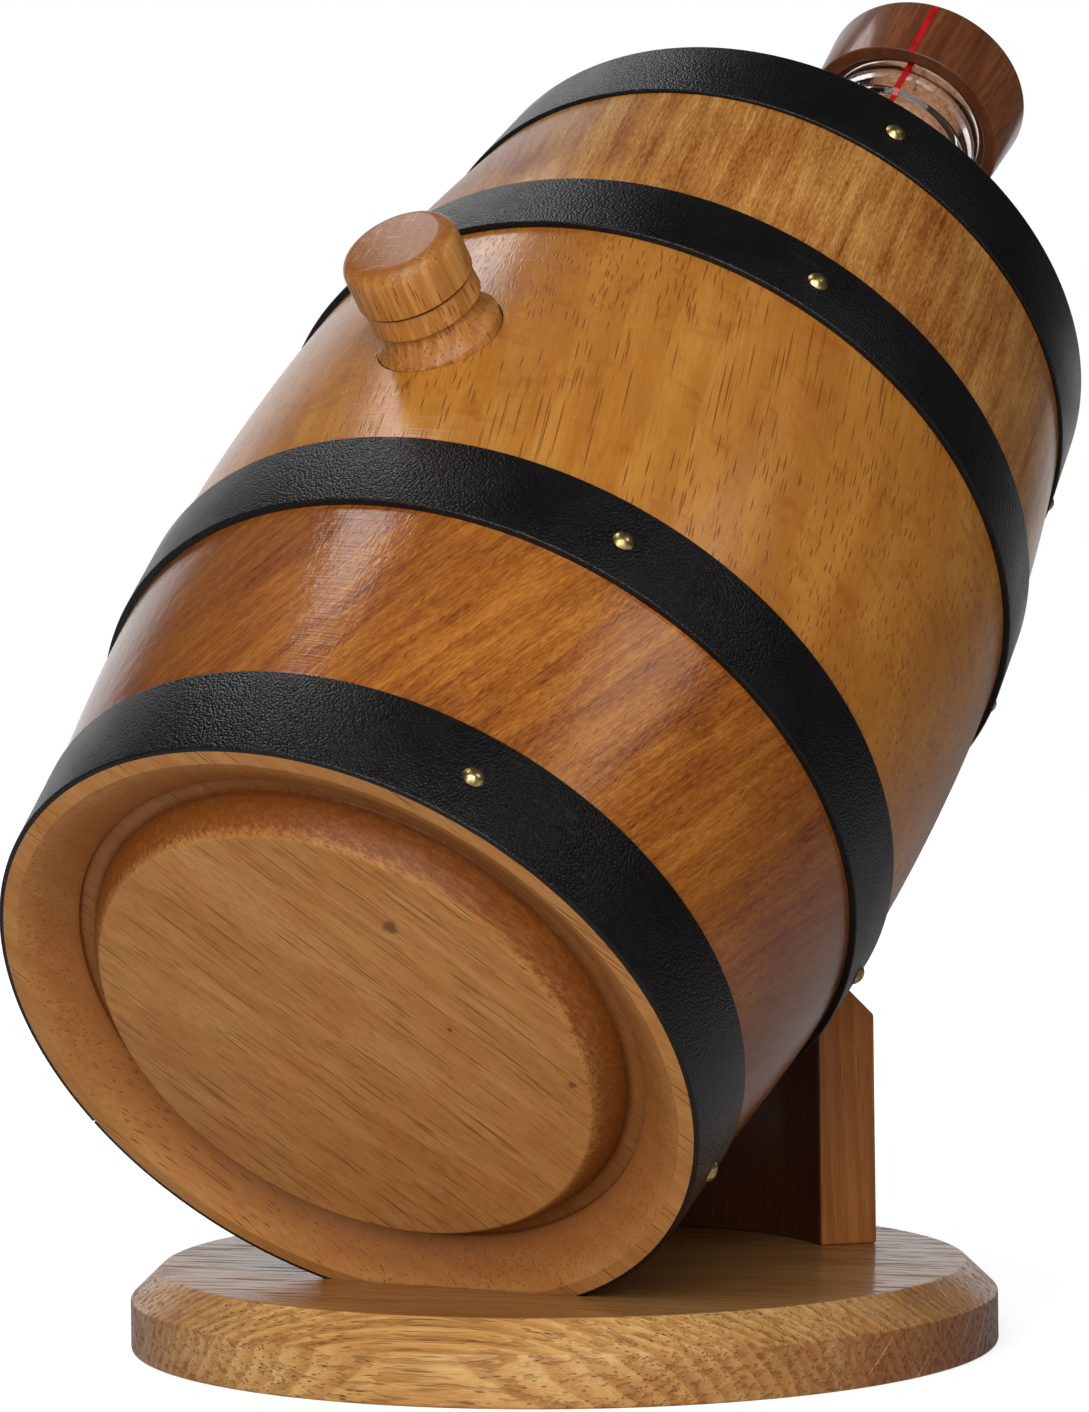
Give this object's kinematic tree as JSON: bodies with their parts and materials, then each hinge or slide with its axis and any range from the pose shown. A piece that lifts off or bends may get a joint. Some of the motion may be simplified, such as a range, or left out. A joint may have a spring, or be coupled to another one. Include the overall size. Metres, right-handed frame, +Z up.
{
  "type": "cask liquor dispenser",
  "caption": "Small turned oak cask leaning on a round stand, with a glass flask inside, a wooden stopper on its neck, a removable bung and nailed leather straps.",
  "frame": {"origin": "centre of the base disc's underside", "axes": "+Z up; the cask's axis lies in the YZ plane and rises towards +Y, so the lower end face looks towards -Y; +X is to the right of someone who looks along +Y"},
  "size_m": [0.196, 0.3575, 0.3218],
  "materials": {
    "stand_oak": "gloss varnish",
    "cask_oak": "gloss varnish",
    "stopper_wood": "gloss lacquer",
    "cork": "raw cork",
    "strap_leather": "satin black",
    "nail_brass": "polished",
    "screw_steel": "zinc plated",
    "flask_glass": "clear",
    "tape_red": "gloss film"
  },
  "bodies": {
    "stand": {"base_disc": "stand_oak", "support_wall": "stand_oak", "wall_screws": "screw_steel"},
    "cask": {"lower_block": "cask_oak", "middle_block": "cask_oak", "upper_block": "cask_oak", "lower_end_strap": "strap_leather", "lower_belly_strap": "strap_leather", "upper_belly_strap": "strap_leather", "upper_end_strap": "strap_leather", "lower_end_nails": "nail_brass", "lower_belly_nails": "nail_brass", "upper_belly_nails": "nail_brass", "upper_end_nails": "nail_brass", "glass_flask": "flask_glass", "flask_base_pad": "cork", "neck_stripe": "tape_red"},
    "stopper": {"stopper_head": "stopper_wood", "stopper_cork": "cork", "stopper_stripe": "tape_red"},
    "bung": {"bung": "cask_oak"}
  },
  "joints": [
    {"name": "cask_lift", "type": "slide", "parent": "stand", "child": "cask", "axis": [0, 0, 1], "range_m": [0, 0.15]},
    {"name": "stopper_pull", "type": "slide", "parent": "cask", "child": "stopper", "axis": [0, 0.788, 0.6157], "range_m": [0, 0.05]},
    {"name": "bung_pull", "type": "slide", "parent": "cask", "child": "bung", "axis": [-0.0444, -0.6494, 0.7591], "range_m": [0, 0.035]}
  ]
}
